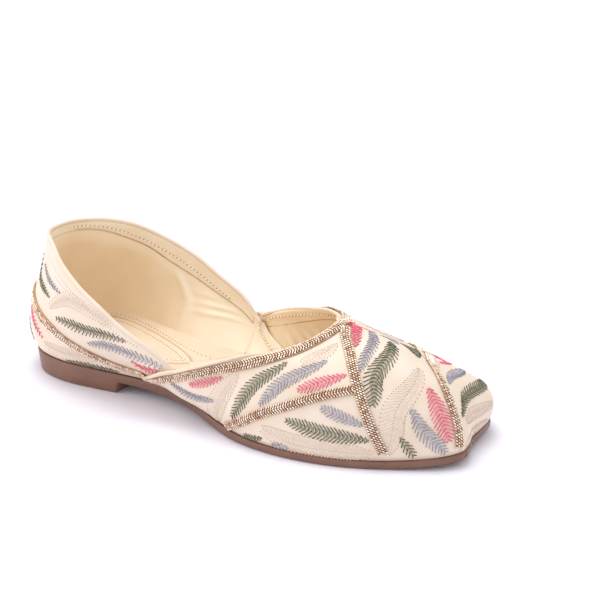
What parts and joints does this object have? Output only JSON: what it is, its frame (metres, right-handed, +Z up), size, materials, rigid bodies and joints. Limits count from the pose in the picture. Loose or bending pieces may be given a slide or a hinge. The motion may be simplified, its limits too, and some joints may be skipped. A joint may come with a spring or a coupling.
{
  "type": "mojari shoe",
  "caption": "Flat slip-on mojari shoe with a low open vamp, a high rounded quarter, braided trim, stitched leaves and a thin sole with a low heel.",
  "frame": {"origin": "middle of the heel's tread, on the floor", "axes": "+X towards the toe, +Y towards the inner side of the foot, +Z up"},
  "size_m": [0.2562, 0.0912, 0.0727],
  "materials": {
    "leather": "smooth, ivory",
    "lining": "smooth, cream",
    "sole": "satin, taupe",
    "braid": "metallic thread"
  },
  "bodies": {
    "root": {"outsole": "sole", "insole": "lining", "upper": "leather", "quarter_binding": "lining", "vamp_binding": "lining", "topline_braid": "braid", "side_braid": "braid", "waist_braid": "braid", "ridge_braid": "braid", "quarter_braid": "braid"}
  },
  "joints": []
}
